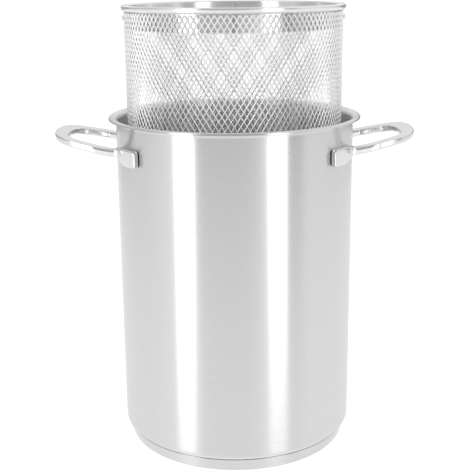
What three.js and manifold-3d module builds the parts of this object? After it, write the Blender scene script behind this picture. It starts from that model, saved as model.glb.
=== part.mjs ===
// Tall stainless steel cooking pot with a basket of expanded metal, lifted partly out of it.
// Lengths are in millimetres and +Z is up. The origin is the centre of the pot's flat underside.
import * as THREE from 'three';
import { mergeVertices } from 'three/addons/utils/BufferGeometryUtils.js';
import Module from 'manifold-3d';

const wasm = await Module();
wasm.setup();

// Pot body: a drawn shell with a flared pouring rim
const potInnerRadius = 80;
const potWall = 1;
const potHeight = 230.4;
const potCornerRadius = 5;
const rimFlareRadius = 3.6;
const rimCurlRadius = 1.4;
const rimCurlAngle = THREE.MathUtils.degToRad(80);

// Base: an aluminium disc under the pot's floor, with a steel cap pressed over it
const coreThickness = 8;
const capWall = 1;
const capTopInset = 2;
const capLowInset = 4;
const capEdgeRadius = 3;
const capLap = 0.8;

// Handles: cast loops with a welded foot at each end
const handleReach = 42.1;
const handleBarWidth = 9.4;
const handleBarHeight = 4.9;
const handleBarRounding = 1.6;
const handleArmSpacing = 65.4;
const handleStraightReach = 11;
const handleDrop = 20.5;
const handleTilt = THREE.MathUtils.degToRad(12.2);
const footThickness = 3.8;
const footRise = 1.8;
const footDeepening = 4.6;
const footLevelRun = 11;
const footSlopeRun = 6;
const footRounding = 1.6;
const footEndAngle = THREE.MathUtils.degToRad(41.3);

// Basket: a mesh wall between a solid rim band and a solid bottom band
const basketHeight = 205.5;
const basketRaise = 73.5;
const lipClearance = 5.1;
const lipFlare = 3.1;
const lipRollHeight = 4.2;
const lipBellyDrop = 1.1;
const bandWall = 0.8;
const rimBandHeight = 15.2;
const bottomBandHeight = 12;
const floorLedge = 5;

// Expanded metal, with openings about five times as long and wide as the real ones, so that they can be cut
const meshThickness = 0.9;
const meshTopDrop = 4.5;
const meshFootRise = 0.4;
const meshColumns = 24;
const meshRows = 12;
const meshStrandWidth = 2.6;
const meshBorder = 3;
const floorColumns = 7;
const diamondSlenderness = 1.56;

// Bail: a wire arch whose ends pass out through the rim band and the mesh
const bailWireRadius = 1.4;
const bailDrop = 8.8;
const bailPinStandout = 1.4;
const bailBendRadius = 3;
const bailBendInset = 0.5;

// Room between pieces, and how far a cut runs past what it cuts
const seatGap = 0.3;
const cutOverrun = 10;

// Facet counts
const turnSegments = 60;
const arcSegments = 4;
const lipSegments = 3;
const cornerSegments = 2;
const loopSteps = 30;
const bailSteps = 56;
const wireSides = 8;

const potOuterRadius = potInnerRadius + potWall;
const potFloorUnderside = capWall + coreThickness;
const potFloor = potFloorUnderside + potWall;
const capTopRadius = potOuterRadius - capTopInset;
const capLowRadius = potOuterRadius - capLowInset;
const handleRootHeight = potHeight - handleDrop;
const armTop = handleRootHeight + handleBarHeight / 2;
const armBottom = handleRootHeight - handleBarHeight / 2;
const basketTop = potHeight + basketRaise;
const basketBottom = basketTop - basketHeight;
const lipRadius = potInnerRadius - lipClearance;
const bandOuterRadius = lipRadius - lipFlare;
const bandInnerRadius = bandOuterRadius - bandWall;
const meshInnerRadius = bandOuterRadius + seatGap;
const meshOuterRadius = meshInnerRadius + meshThickness;
const meshBottom = basketBottom + meshFootRise;
const meshTop = basketTop - meshTopDrop;
const meshTurn = (2 * Math.PI) / meshColumns;
const meshRise = (meshTop - meshBottom - 2 * meshBorder) / (meshRows + 1);
const bailHeight = basketTop - bailDrop;
const bailPinReach = meshOuterRadius + bailPinStandout;
const quarterTurn = Math.PI / 2;

// Points on an oval arc in a radius and height plane, from one angle to another
function ovalArc(centreRadius, centreHeight, halfWidth, halfHeight, fromAngle, toAngle, segments) {
  const points = [];
  for (let i = 0; i <= segments; i += 1) {
    const angle = THREE.MathUtils.lerp(fromAngle, toAngle, i / segments);
    points.push([centreRadius + halfWidth * Math.cos(angle), centreHeight + halfHeight * Math.sin(angle)]);
  }
  return points;
}

// Points on a round arc in the same plane
function arc(centreRadius, centreHeight, radius, fromAngle, toAngle) {
  return ovalArc(centreRadius, centreHeight, radius, radius, fromAngle, toAngle, arcSegments);
}

// A solid of revolution about Z from a profile of [radius, height] points, counter-clockwise
function turned(profile) {
  const points = profile.map(([radius, height]) => new THREE.Vector2(radius, height));
  const geometry = new THREE.LatheGeometry(points, turnSegments);
  geometry.rotateX(quarterTurn);
  return geometry;
}

// A profile that closes on itself, as a ring has
function turnedRing(profile) {
  return turned([...profile, profile[0]]);
}

// One or more outlines in the plan view, raised from one height to another
function raised(shape, fromHeight, toHeight) {
  const settings = { depth: toHeight - fromHeight, bevelEnabled: false, curveSegments: cornerSegments };
  const geometry = new THREE.ExtrudeGeometry(shape, settings);
  geometry.translate(0, 0, fromHeight);
  return geometry;
}

// A flat path as a curve in space, so that a section can be swept along it
class FlatCurve extends THREE.Curve {
  constructor(path) {
    super();
    this.path = path;
  }

  getPoint(t, target = new THREE.Vector3()) {
    const point = this.path.getPoint(t);
    return target.set(point.x, point.y, 0);
  }
}

// A section swept along a flat path; its first axis stands upright and its second lies across the path
function swept(section, path, steps) {
  const settings = { steps, extrudePath: new FlatCurve(path), bevelEnabled: false, curveSegments: cornerSegments };
  return new THREE.ExtrudeGeometry(section, settings);
}

// A rectangle with rounded corners, centred on the origin
function roundedRectangle(width, height, rounding) {
  const x = width / 2;
  const y = height / 2;
  const shape = new THREE.Shape();
  shape.moveTo(-x + rounding, -y);
  shape.absarc(x - rounding, -y + rounding, rounding, -quarterTurn, 0);
  shape.absarc(x - rounding, y - rounding, rounding, 0, quarterTurn);
  shape.absarc(-x + rounding, y - rounding, rounding, quarterTurn, Math.PI);
  shape.absarc(-x + rounding, -y + rounding, rounding, Math.PI, Math.PI + quarterTurn);
  return shape;
}

// A regular polygon for the section of a wire
function wireSection(radius) {
  const points = [];
  for (let i = 0; i < wireSides; i += 1) {
    const angle = (i * 2 * Math.PI) / wireSides;
    points.push(new THREE.Vector2(radius * Math.cos(angle), radius * Math.sin(angle)));
  }
  return new THREE.Shape(points);
}

// A closed geometry as a solid that can be joined and cut
function toSolid(geometry) {
  const bare = geometry.clone();
  bare.deleteAttribute('normal');
  bare.deleteAttribute('uv');
  const merged = mergeVertices(bare);
  const index = merged.index.array;
  const triangles = [];
  for (let i = 0; i < index.length; i += 3) {
    const [a, b, c] = [index[i], index[i + 1], index[i + 2]];
    if (a !== b && b !== c && c !== a) {
      triangles.push(a, b, c);
    }
  }
  const vertProperties = new Float32Array(merged.attributes.position.array);
  const triVerts = new Uint32Array(triangles);
  return new wasm.Manifold(new wasm.Mesh({ numProp: 3, vertProperties, triVerts }));
}

// A joined and cut solid as a geometry again
function toGeometry(solid) {
  const mesh = solid.getMesh();
  const geometry = new THREE.BufferGeometry();
  geometry.setAttribute('position', new THREE.BufferAttribute(new Float32Array(mesh.vertProperties), 3));
  geometry.setIndex(new THREE.BufferAttribute(new Uint32Array(mesh.triVerts), 1));
  geometry.computeVertexNormals();
  return geometry;
}

// A piece: one named mesh with its own material
function piece(name, geometry, material) {
  const mesh = new THREE.Mesh(geometry, material);
  mesh.name = name;
  return mesh;
}

// Satin brushed stainless steel of the pot and its base
function brushedSteel() {
  return new THREE.MeshStandardMaterial({ color: 0xc4c5c6, roughness: 0.38, metalness: 1 });
}

// Polished stainless steel of the handles and the bail
function polishedSteel() {
  return new THREE.MeshStandardMaterial({ color: 0xdcdcdc, roughness: 0.12, metalness: 1 });
}

// Bright pickled steel of the basket
function basketSteel() {
  return new THREE.MeshStandardMaterial({ color: 0xd2d3d4, roughness: 0.25, metalness: 1 });
}

// Bare aluminium of the disc inside the base
function aluminium() {
  return new THREE.MeshStandardMaterial({ color: 0xbfc1c4, roughness: 0.5, metalness: 1 });
}

// The drawn shell: up the outside, over the flared rim, down the inside and across the floor
function potBody() {
  const halfWall = potWall / 2;
  const flareCentreRadius = potInnerRadius + halfWall + rimFlareRadius;
  const flareCentreHeight = potHeight - halfWall - rimFlareRadius;
  const curlCentreHeight = potHeight - halfWall - rimCurlRadius;
  const curlEnd = quarterTurn - rimCurlAngle;
  const cornerHeight = potFloorUnderside + potCornerRadius;
  const cornerCentre = potOuterRadius - potCornerRadius;
  const profile = [
    [0, potFloorUnderside],
    ...arc(cornerCentre, cornerHeight, potCornerRadius, -quarterTurn, 0),
    ...arc(flareCentreRadius, flareCentreHeight, rimFlareRadius - halfWall, Math.PI, quarterTurn),
    ...arc(flareCentreRadius, curlCentreHeight, rimCurlRadius - halfWall, quarterTurn, curlEnd),
    ...arc(flareCentreRadius, curlCentreHeight, rimCurlRadius + halfWall, curlEnd, quarterTurn),
    ...arc(flareCentreRadius, flareCentreHeight, rimFlareRadius + halfWall, quarterTurn, Math.PI).slice(1),
    ...arc(cornerCentre, cornerHeight, potCornerRadius - potWall, 0, -quarterTurn),
    [0, potFloor],
  ];
  return piece('pot_body', turned(profile), brushedSteel());
}

// The aluminium disc, face to face with the pot's floor above and the cap below
function baseCore() {
  const edgeRadius = capLowRadius - capWall - seatGap;
  const lowRadius = capLowRadius - capEdgeRadius;
  const profile = [
    [0, capWall],
    [lowRadius, capWall],
    [edgeRadius, capEdgeRadius],
    [edgeRadius, potFloorUnderside],
    [0, potFloorUnderside],
  ];
  return piece('base_core', turned(profile), aluminium());
}

// The steel cap under the disc: its edge runs up to just under the pot's rounded corner
function baseCap() {
  const edgeCentre = capLowRadius - capEdgeRadius;
  const innerTopRadius = potOuterRadius - potCornerRadius / 2 - potWall / 2;
  const profile = [
    [0, 0],
    ...arc(edgeCentre, capEdgeRadius, capEdgeRadius, -quarterTurn, 0),
    [capTopRadius, potFloorUnderside + capLap - seatGap],
    [capTopRadius, potFloorUnderside + capLap],
    [innerTopRadius, potFloorUnderside - seatGap],
    ...arc(edgeCentre, capEdgeRadius, capEdgeRadius - capWall, 0, -quarterTurn),
    [0, capWall],
  ];
  return piece('base_cap', turned(profile), brushedSteel());
}

// The loop of one handle in its own flat plane, from inside the wall round the tip and back
function handleLoopPath() {
  const arm = handleArmSpacing / 2;
  const start = potInnerRadius - cutOverrun;
  const straightEnd = potOuterRadius + handleStraightReach;
  const tip = potOuterRadius + handleReach - handleBarWidth / 2;
  const shoulderShare = 0.6;
  const tipShare = 0.93;
  const narrowShare = 0.81;
  const shoulder = THREE.MathUtils.lerp(straightEnd, tip, shoulderShare);
  const path = new THREE.Path();
  path.moveTo(start, -arm);
  path.lineTo(straightEnd, -arm);
  path.bezierCurveTo(shoulder, -arm * narrowShare, tip, -arm * tipShare, tip, 0);
  path.bezierCurveTo(tip, arm * tipShare, shoulder, arm * narrowShare, straightEnd, arm);
  path.lineTo(start, arm);
  return path;
}

// One foot of a handle: a pad that follows the wall, taller than the arm above and below it
function handleFoot(side) {
  const armInner = handleArmSpacing / 2 - handleBarWidth / 2;
  const padRadius = potOuterRadius + seatGap + footThickness;
  const startAngle = Math.asin(armInner / padRadius);
  const inside = potInnerRadius - cutOverrun;
  const footTop = armTop + footRise;
  const footBottom = armBottom - footDeepening;
  const plan = new THREE.Shape();
  plan.moveTo(inside * Math.cos(startAngle), side * inside * Math.sin(startAngle));
  plan.absarc(0, 0, padRadius, side * startAngle, side * footEndAngle, side < 0);
  plan.lineTo(inside * Math.cos(footEndAngle), side * inside * Math.sin(footEndAngle));
  const block = toSolid(raised(plan, footBottom - cutOverrun, footTop + cutOverrun));

  const freeEnd = potOuterRadius * Math.cos(footEndAngle);
  const slopeFoot = freeEnd + footLevelRun;
  const slopeTop = slopeFoot + footSlopeRun;
  const elevation = new THREE.Shape();
  elevation.moveTo(freeEnd + footRounding, footBottom);
  elevation.lineTo(slopeFoot, footBottom);
  elevation.lineTo(slopeTop, armBottom);
  elevation.lineTo(padRadius + cutOverrun, armBottom);
  elevation.lineTo(padRadius + cutOverrun, armTop);
  elevation.lineTo(slopeTop, armTop);
  elevation.lineTo(slopeFoot, footTop);
  elevation.lineTo(freeEnd + footRounding, footTop);
  elevation.absarc(freeEnd + footRounding, footTop - footRounding, footRounding, quarterTurn, Math.PI);
  elevation.absarc(freeEnd + footRounding, footBottom + footRounding, footRounding, Math.PI, Math.PI + quarterTurn);
  const sideCut = raised(elevation, -padRadius, padRadius);
  sideCut.rotateX(quarterTurn);
  return block.intersect(toSolid(sideCut));
}

// One handle: the tilted loop joined to its two feet, with the pot's wall cut away
function handle(name) {
  const section = roundedRectangle(handleBarHeight, handleBarWidth, handleBarRounding);
  const loop = swept(section, handleLoopPath(), loopSteps);
  loop.translate(-potOuterRadius, 0, 0);
  loop.rotateY(-handleTilt);
  loop.translate(potOuterRadius, 0, handleRootHeight);

  const wallCylinder = new THREE.CylinderGeometry(
    potOuterRadius + seatGap,
    potOuterRadius + seatGap,
    potHeight,
    turnSegments,
  );
  wallCylinder.rotateX(quarterTurn);
  wallCylinder.translate(0, 0, potHeight / 2);
  const solid = toSolid(loop).add(handleFoot(-1)).add(handleFoot(1)).subtract(toSolid(wallCylinder));
  return piece(name, toGeometry(solid), polishedSteel());
}

// A bar along X that opens the holes for the bail's ends
function pinHoles() {
  const hole = new THREE.CylinderGeometry(
    bailWireRadius + seatGap,
    bailWireRadius + seatGap,
    2 * bailPinReach + cutOverrun,
    wireSides * 2,
  );
  hole.rotateZ(quarterTurn);
  hole.translate(0, 0, bailHeight);
  return toSolid(hole);
}

// The solid rim band of the basket with its rolled lip: round below, over its top and down the inside
function basketRimBand() {
  const bottom = basketTop - rimBandHeight;
  const belly = basketTop - lipBellyDrop;
  const rollDepth = lipRollHeight - lipBellyDrop;
  const lipMiddle = (lipRadius + bandInnerRadius) / 2;
  const halfLip = (lipRadius - bandInnerRadius) / 2;
  const profile = [
    [bandInnerRadius, bottom],
    [bandOuterRadius, bottom],
    ...ovalArc(bandOuterRadius, belly, lipFlare, rollDepth, -quarterTurn, 0, lipSegments),
    ...ovalArc(lipMiddle, belly, halfLip, lipBellyDrop, 0, Math.PI, lipSegments).slice(1),
  ];
  const band = toSolid(turnedRing(profile)).subtract(pinHoles());
  return piece('basket_rim_band', toGeometry(band), basketSteel());
}

// How much of a diamond is open, so that the strands round it have their width
function openShare(halfWidth, halfHeight) {
  const edgeDistance = (halfWidth * halfHeight) / Math.hypot(halfWidth, halfHeight);
  return 1 - meshStrandWidth / 2 / edgeDistance;
}

// A closed sleeve with diamond openings in staggered rows. A place on it is [column, height].
function diamondSleeve(innerRadius, outerRadius) {
  const corners = [];
  const low = meshBottom + meshBorder;
  const high = meshTop - meshBorder;
  const share = openShare((outerRadius * meshTurn) / 2, meshRise);

  function point([column, height], radius) {
    const angle = (((column % meshColumns) + meshColumns) % meshColumns) * meshTurn;
    return [radius * Math.cos(angle), radius * Math.sin(angle), height];
  }

  function fan(points) {
    for (let i = 2; i < points.length; i += 1) {
      corners.push(...points[0], ...points[i - 1], ...points[i]);
    }
  }

  // A patch of wall with its outer and inner faces, its places counter-clockwise from outside
  function patch(...places) {
    fan(places.map((place) => point(place, outerRadius)));
    fan(places.map((place) => point(place, innerRadius)).reverse());
  }

  // The thickness of the wall along an edge that has the metal on its left
  function edge(a, b) {
    fan([point(a, outerRadius), point(a, innerRadius), point(b, innerRadius), point(b, outerRadius)]);
  }

  function openDiamond(column, height) {
    const [left, bottom, right, top] = [
      [column - 0.5, height],
      [column, height - meshRise],
      [column + 0.5, height],
      [column, height + meshRise],
    ];
    const [l, b, r, t] = [
      [column - share / 2, height],
      [column, height - meshRise * share],
      [column + share / 2, height],
      [column, height + meshRise * share],
    ];
    patch(left, bottom, b, l);
    patch(bottom, right, r, b);
    patch(right, top, t, r);
    patch(top, left, l, t);
    edge(l, t);
    edge(t, r);
    edge(r, b);
    edge(b, l);
  }

  for (let i = 0; i < meshColumns; i += 1) {
    for (let row = 1; row <= meshRows; row += 1) {
      openDiamond(i + ((row + 1) % 2) / 2, low + row * meshRise);
    }
    const lowMiddle = [i + 0.5, low];
    patch([i, low], lowMiddle, [i + 0.5, low + meshRise]);
    patch(lowMiddle, [i + 1, low], [i + 0.5, low + meshRise]);
    const start = i + ((meshRows + 1) % 2) / 2;
    const highMiddle = [start + 0.5, high];
    patch([start + 0.5, high - meshRise], [start + 1, high], highMiddle);
    patch([start + 0.5, high - meshRise], highMiddle, [start, high]);
    for (const half of [i, i + 0.5]) {
      patch([half, meshBottom], [half + 0.5, meshBottom], [half + 0.5, low], [half, low]);
      edge([half, meshBottom], [half + 0.5, meshBottom]);
      patch([half, high], [half + 0.5, high], [half + 0.5, meshTop], [half, meshTop]);
      edge([half + 0.5, meshTop], [half, meshTop]);
    }
  }
  const geometry = new THREE.BufferGeometry();
  geometry.setAttribute('position', new THREE.Float32BufferAttribute(corners, 3));
  return geometry;
}

// The round wall of expanded metal, with its upright diamonds and the holes for the bail
function basketMeshWall() {
  const wall = toSolid(diamondSleeve(meshInnerRadius, meshOuterRadius)).subtract(pinHoles());
  return piece('basket_mesh_wall', toGeometry(wall), basketSteel());
}

// The angle ring at the basket's foot, which carries the wall and the floor
function basketBottomBand() {
  const ledgeRadius = bandInnerRadius - floorLedge;
  const profile = [
    [ledgeRadius, basketBottom],
    [bandOuterRadius, basketBottom],
    [bandOuterRadius, basketBottom + bottomBandHeight],
    [bandInnerRadius, basketBottom + bottomBandHeight],
    [bandInnerRadius, basketBottom + bandWall],
    [ledgeRadius, basketBottom + bandWall],
  ];
  return piece('basket_bottom_band', turnedRing(profile), basketSteel());
}

// The diamond openings of the floor: staggered columns and rows, as far as the ledge leaves room
function floorOpenings() {
  const openRadius = bandInnerRadius - floorLedge;
  const halfWidth = openRadius / floorColumns;
  const halfHeight = halfWidth * diamondSlenderness;
  const share = openShare(halfWidth, halfHeight);
  const openings = [];
  for (let row = -floorColumns; row <= floorColumns; row += 1) {
    for (let column = -floorColumns; column <= floorColumns; column += 1) {
      const [x, y] = [column * halfWidth, row * halfHeight];
      const sideReach = Math.hypot(Math.abs(x) + halfWidth, y);
      const endReach = Math.hypot(x, Math.abs(y) + halfHeight);
      if ((row + column) % 2 === 0 && Math.max(sideReach, endReach) < openRadius) {
        const opening = new THREE.Shape();
        opening.moveTo(x - halfWidth * share, y);
        opening.lineTo(x, y - halfHeight * share);
        opening.lineTo(x + halfWidth * share, y);
        opening.lineTo(x, y + halfHeight * share);
        openings.push(opening);
      }
    }
  }
  return openings;
}

// The flat mesh disc that lies on the ledge of the angle ring
function basketFloor() {
  const radius = bandInnerRadius - seatGap;
  const bottom = basketBottom + bandWall;
  const disc = new THREE.CylinderGeometry(radius, radius, meshThickness, turnSegments);
  disc.rotateX(quarterTurn);
  disc.translate(0, 0, bottom + meshThickness / 2);
  const prisms = raised(floorOpenings(), bottom - cutOverrun, bottom + meshThickness + cutOverrun);
  return piece('basket_floor', toGeometry(toSolid(disc).subtract(toSolid(prisms))), basketSteel());
}

// The wire arch, folded level inside the band: pin, bend, arch, bend, pin
function basketBail() {
  const bendStart = bandInnerRadius - bailBendInset;
  const centreDistance = Math.hypot(bendStart, bailBendRadius);
  const archRadius = centreDistance - bailBendRadius;
  const lean = Math.atan2(bailBendRadius, bendStart);
  const path = new THREE.Path();
  path.moveTo(-bailPinReach, 0);
  path.lineTo(-bendStart, 0);
  path.absarc(-bendStart, bailBendRadius, bailBendRadius, -quarterTurn, -lean);
  path.absarc(0, 0, archRadius, Math.PI - lean, lean, true);
  path.absarc(bendStart, bailBendRadius, bailBendRadius, Math.PI + lean, Math.PI + quarterTurn);
  path.lineTo(bailPinReach, 0);
  const bail = piece('basket_bail', swept(wireSection(bailWireRadius), path, bailSteps), polishedSteel());
  bail.position.z = bailHeight;
  return bail;
}

// The pot with its base and handles
function pot() {
  const group = new THREE.Group();
  const left = handle('handle_left');
  left.rotation.z = Math.PI;
  group.add(potBody(), baseCore(), baseCap(), left, handle('handle_right'));
  return group;
}

// The basket with its bail
function basket() {
  const group = new THREE.Group();
  group.add(basketRimBand(), basketMeshWall(), basketBottomBand(), basketFloor(), basketBail());
  return group;
}

const cookingPot = new THREE.Group();
cookingPot.add(pot(), basket());

export default cookingPot;
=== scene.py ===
"""A tall stainless steel cooking pot with a lift-out mesh basket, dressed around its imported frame.

Lengths are in metres. The origin is the centre of the pot's flat underside, +Z is up, +X points to the right
handle and -Y to the viewer.
"""

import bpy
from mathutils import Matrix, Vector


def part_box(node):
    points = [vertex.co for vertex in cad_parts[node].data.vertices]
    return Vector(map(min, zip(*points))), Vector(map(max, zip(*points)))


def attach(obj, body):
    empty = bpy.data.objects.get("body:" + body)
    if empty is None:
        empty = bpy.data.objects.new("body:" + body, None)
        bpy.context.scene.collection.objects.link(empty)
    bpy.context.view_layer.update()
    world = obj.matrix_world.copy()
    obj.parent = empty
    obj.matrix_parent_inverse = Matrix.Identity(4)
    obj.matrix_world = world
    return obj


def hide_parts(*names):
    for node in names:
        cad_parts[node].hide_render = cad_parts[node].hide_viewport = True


bl_info = {
    "name": "Tall Cooking Pot",
    "version": (1, 0, 0),
    "blender": (4, 5, 0),
    "location": "3D View > Sidebar > Cooking Pot",
    "description": "Models a tall cooking pot with a mesh basket around its packed frame",
    "category": "Object",
}

import math

import bmesh
import bpy
from bpy.props import FloatProperty, FloatVectorProperty, IntProperty, PointerProperty
from mathutils import Matrix, Vector

MM = 0.001
QUARTER = math.pi / 2
FULL_TURN = 2 * math.pi

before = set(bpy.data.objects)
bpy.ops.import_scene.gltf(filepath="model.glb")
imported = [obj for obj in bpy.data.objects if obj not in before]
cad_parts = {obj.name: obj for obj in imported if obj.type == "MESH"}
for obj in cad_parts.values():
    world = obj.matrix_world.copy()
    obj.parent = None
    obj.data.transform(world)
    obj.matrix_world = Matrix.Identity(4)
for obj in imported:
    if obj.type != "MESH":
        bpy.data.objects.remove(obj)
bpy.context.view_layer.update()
pot_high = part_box("pot_body")[1]
cap_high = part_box("base_cap")[1]
band_low, band_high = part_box("basket_rim_band")
ring_low, ring_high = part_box("basket_bottom_band")
wall_low, wall_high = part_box("basket_mesh_wall")
floor_low, floor_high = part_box("basket_floor")
bail_low, bail_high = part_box("basket_bail")


# Colours


def linear_colour(hex_value):
    """An sRGB hex value as linear red, green, blue and alpha."""
    channels = [((hex_value >> shift) & 255) / 255 for shift in (16, 8, 0)]
    return tuple(c / 12.92 if c <= 0.04045 else ((c + 0.055) / 1.055) ** 2.4 for c in channels) + (1.0,)


# Settings that a user would change


def length(name, description, default):
    return FloatProperty(name=name, description=description, default=default, unit="LENGTH")


def angle(name, description, degrees):
    return FloatProperty(name=name, description=description, default=math.radians(degrees), subtype="ANGLE")


def colour(name, description, hex_value):
    default = linear_colour(hex_value)
    return FloatVectorProperty(name=name, description=description, default=default, subtype="COLOR", size=4)


class PotSizes(bpy.types.PropertyGroup):
    height: length("Height", "Height of the rim over the table", pot_high.z)
    inner_radius: length("Inner radius", "Radius of the pot's inside", 80 * MM)
    wall: length("Wall", "Thickness of the steel sheet", 1 * MM)
    corner_radius: length("Corner radius", "Outside radius between wall and floor", 5 * MM)
    flare_radius: length("Flare radius", "Radius of the flared pouring rim", 3.6 * MM)
    curl_radius: length("Curl radius", "Radius of the rim's rolled edge", 1.4 * MM)
    curl_angle: angle("Curl angle", "How far the rim's edge is rolled down", 80)
    turn_steps: IntProperty(name="Turn steps", description="Facets round the pot", default=192)


class BaseSizes(bpy.types.PropertyGroup):
    top_radius: length("Top radius", "Outer radius of the cap at its upper edge", cap_high.x)
    low_radius: length("Low radius", "Outer radius of the cap above its rounded foot", cap_high.x - 2 * MM)
    edge_radius: length("Edge radius", "Rounding at the foot of the cap", 3 * MM)
    wall: length("Wall", "Thickness of the cap", 1 * MM)
    height: length("Height", "Height of the cap's upper edge", cap_high.z)
    overlap: length("Overlap", "How far the cap's edge reaches up beside the shell", 0.8 * MM)
    seam_opening: length("Seam opening", "How far the cap's edge is broken to open the seam", 0.2 * MM)


class HandleSizes(bpy.types.PropertyGroup):
    reach: length("Reach", "How far the loop stands out from the pot", 42.1 * MM)
    bar_width: length("Bar width", "Width of the bar in the loop's plane", 9.4 * MM)
    bar_height: length("Bar height", "Height of the bar", 4.9 * MM)
    bar_rounding: length("Bar rounding", "Rounding of the bar's edges", 1.5 * MM)
    arm_spacing: length("Arm spacing", "Distance between the middles of the two arms", 65.4 * MM)
    straight_reach: length("Straight reach", "Where the arms start to curve, from the wall", 11 * MM)
    drop: length("Drop", "How far the arms' middle lies under the rim", 20.5 * MM)
    tilt: angle("Tilt", "Rise of the loop towards its tip", 12.2)
    foot_thickness: length("Foot thickness", "Thickness of the welded foot", 3.8 * MM)
    foot_rise: length("Foot rise", "How far the foot reaches over the arm", 1.8 * MM)
    foot_deepening: length("Foot deepening", "How far the foot reaches under the arm", 4.6 * MM)
    foot_level_run: length("Foot level run", "Length of the foot's level part", 11 * MM)
    foot_slope_run: length("Foot slope run", "Length of the slopes from the foot to the arm", 6 * MM)
    foot_rounding: length("Foot rounding", "Rounding of the foot's free end", 1.2 * MM)
    foot_edge: length("Foot edge", "Rounding of the foot's long edges", 1.0 * MM)
    foot_end_angle: angle("Foot end angle", "Where the foot ends round the pot", 40.5)
    foot_fillet: length("Foot fillet", "Fillet between foot and arm", 5 * MM)
    seat_gap: length("Seat gap", "Room between the foot and the wall", 0.3 * MM)
    end_gap: length("End gap", "Room under the foot's free end", 0.3 * MM)
    end_gap_run: length("End gap run", "How far that room reaches under the foot", 2 * MM)


class BasketSizes(bpy.types.PropertyGroup):
    band_outer_radius: length("Band radius", "Outer radius of the rim band", ring_high.x)
    band_wall: length("Band wall", "Thickness of the band", 0.8 * MM)
    lip_radius: length("Lip radius", "Outer radius of the flared lip", band_high.x)
    lip_height: length("Lip height", "Height of the rolled lip", 4.2 * MM)
    lip_drop: length("Lip drop", "How far the lip's widest place lies under its crest", 1.1 * MM)
    facet_drop: length("Facet drop", "How far the solid's facets cut the crest", 0.15 * MM)
    floor_ledge: length("Floor ledge", "Width of the ledge under the floor", 5 * MM)
    weld_width: length("Weld width", "Width of the weld where the band's ends meet", 0.9 * MM)
    weld_height: length("Weld height", "How far that weld stands out from the band", 0.2 * MM)
    weld_place: length("Weld place", "Where the weld at the back lies, from the middle", 1.5 * MM)
    # Place of the band's front stripe, which is drawn darker in the band's colour.
    stripe_place: length("Stripe place", "Where the front seam's tint lies, from the middle", 0.5 * MM)
    turn_steps: IntProperty(name="Turn steps", description="Facets round the basket", default=180)


class MeshSizes(bpy.types.PropertyGroup):
    columns: IntProperty(name="Columns", description="Openings round the basket", default=118)
    opening_height: length("Opening height", "Height of one diamond, from bond to bond", 6.14 * MM)
    strand_width: length("Strand width", "Width of one strand across its length", 0.8 * MM)
    strand_depth: length("Strand depth", "Thickness of the sheet", 0.7 * MM)
    bond_spread: length("Bond spread", "How far two strands stay apart where they join", 0.05 * MM)


class BailSizes(bpy.types.PropertyGroup):
    wire_radius: length("Wire radius", "Radius of the wire", (bail_high.z - bail_low.z) / 2)
    bend_radius: length("Bend radius", "Radius of the bend next to each pin", 3 * MM)
    bend_inset: length("Bend inset", "Room between the bend and the band", 0.5 * MM)
    wire_sides: IntProperty(name="Wire sides", description="Facets round the wire", default=20)


class FinishColours(bpy.types.PropertyGroup):
    pot: colour("Pot", "Brushed steel of the pot", 0xD5D5D6)
    inside: colour("Inside", "Satin steel of the pot's inside", 0xE4E4E5)
    handles: colour("Handles", "Polished steel of the handles", 0xD9D9DA)
    band: colour("Band", "Electropolished sheet of the basket's bands", 0xE2E2E3)
    basket: colour("Basket", "Electropolished mesh of the basket", 0xE4E4E5)
    bail: colour("Bail", "Drawn wire of the bail", 0xE0E0E1)
    aluminium: colour("Aluminium", "Disc inside the base", 0xC9CACC)


class StageSettings(bpy.types.PropertyGroup):
    left_azimuth: angle("Left azimuth", "Place of the left strip light, from the viewer's side", -45.5)
    left_width: length("Left width", "Width of the left strip light", 0.169)
    left_power: FloatProperty(name="Left power", description="Power of the left strip", default=1.349)
    right_azimuth: angle("Right azimuth", "Place of the right strip light, from the viewer's side", 37.7)
    right_width: length("Right width", "Width of the right strip light", 0.161)
    right_power: FloatProperty(name="Right power", description="Power of the right strip", default=0.871)
    strip_distance: length("Strip distance", "From the pot's axis to the strip lights", 0.55)
    strip_height: length("Strip height", "Height of the strip lights", 0.8)
    front_card: FloatProperty(name="Front card", description="Level of the card in front", default=1.4)
    floor_glow: FloatProperty(name="Floor glow", description="Own light of the floor", default=0.86)


def settings(name):
    return getattr(bpy.context.scene, "cooking_pot_" + name)


# Modelling

MERGE_DISTANCE = 0.002 * MM
SMOOTH_ANGLE = math.radians(35)


def deselect_everything():
    bpy.ops.object.select_all(action="DESELECT")


def named(name):
    """The object that an operator has just added, under its own name."""
    piece = bpy.context.active_object
    piece.name = name
    piece.data.name = name
    return piece


def leave_tidy():
    """Merges what coincides, turns the faces outwards and shades the mesh, then leaves edit mode."""
    bpy.ops.mesh.select_all(action="SELECT")
    bpy.ops.mesh.remove_doubles(threshold=MERGE_DISTANCE)
    bpy.ops.mesh.normals_make_consistent(inside=False)
    bpy.ops.object.mode_set(mode="OBJECT")
    bpy.ops.object.shade_smooth_by_angle(angle=SMOOTH_ANGLE)


def arc_points(centre_radius, centre_height, radius, start, end, steps):
    """Points of an arc in an upright plane."""
    turns = [start + (end - start) * i / steps for i in range(steps + 1)]
    return [(centre_radius + radius * math.cos(a), centre_height + radius * math.sin(a)) for a in turns]


def supported(profile, reach=0.3 * MM):
    """The profile with a point near each end of its long straight runs, so that they shade flat."""
    points = profile[:1]
    for start, end in zip(profile, profile[1:]):
        run = math.dist(start, end)
        if run > 6 * reach:
            for share in (reach / run, 1 - reach / run):
                points.append(tuple(a + (b - a) * share for a, b in zip(start, end)))
        points.append(end)
    return points


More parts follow.
